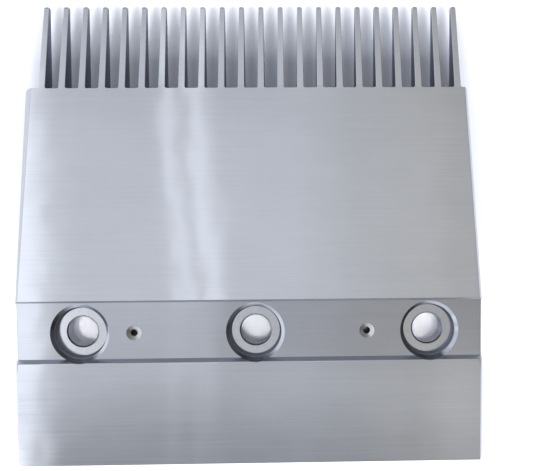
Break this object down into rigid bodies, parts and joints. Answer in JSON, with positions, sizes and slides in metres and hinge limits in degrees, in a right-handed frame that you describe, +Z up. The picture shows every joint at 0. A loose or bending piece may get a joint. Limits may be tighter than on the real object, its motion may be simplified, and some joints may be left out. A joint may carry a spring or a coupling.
{
  "type": "escalator comb plate",
  "caption": "Cast aluminium comb segment for an escalator landing: a sloping ramp with a row of tapered teeth, a recessed screw band and a flat rear land.",
  "frame": {"origin": "on the axis of the middle screw hole, in the plane of the seat under the screw pads", "axes": "+X across the segment, +Y along the teeth towards the steps, +Z up along the screw holes; the tooth tips hang below Z = 0"},
  "size_m": [0.2026, 0.2038, 0.0402],
  "materials": {
    "brushed_aluminium": "brushed across the width",
    "machined_aluminium": "turned and faced",
    "cast_aluminium": "as cast, blasted"
  },
  "bodies": {
    "root": {"ramp_deck": "brushed_aluminium", "root_bar": "brushed_aluminium", "teeth_left": "brushed_aluminium", "teeth_middle": "brushed_aluminium", "teeth_right": "brushed_aluminium", "screw_seat_left": "machined_aluminium", "screw_seat_middle": "machined_aluminium", "screw_seat_right": "machined_aluminium", "band_web_left": "brushed_aluminium", "band_web_right": "brushed_aluminium", "band_end_left": "brushed_aluminium", "band_end_right": "brushed_aluminium", "rear_land": "brushed_aluminium", "rear_wall": "cast_aluminium", "rear_side_left": "cast_aluminium", "rear_side_right": "cast_aluminium", "ramp_side_left": "cast_aluminium", "ramp_side_right": "cast_aluminium", "front_rib_left": "cast_aluminium", "front_rib_mid_left": "cast_aluminium", "front_rib_middle": "cast_aluminium", "front_rib_mid_right": "cast_aluminium", "front_rib_right": "cast_aluminium", "rear_rib_left": "cast_aluminium", "rear_rib_mid_left": "cast_aluminium", "rear_rib_middle": "cast_aluminium", "rear_rib_mid_right": "cast_aluminium", "rear_rib_right": "cast_aluminium", "cross_rib": "cast_aluminium", "seat_rail": "cast_aluminium"}
  },
  "joints": []
}
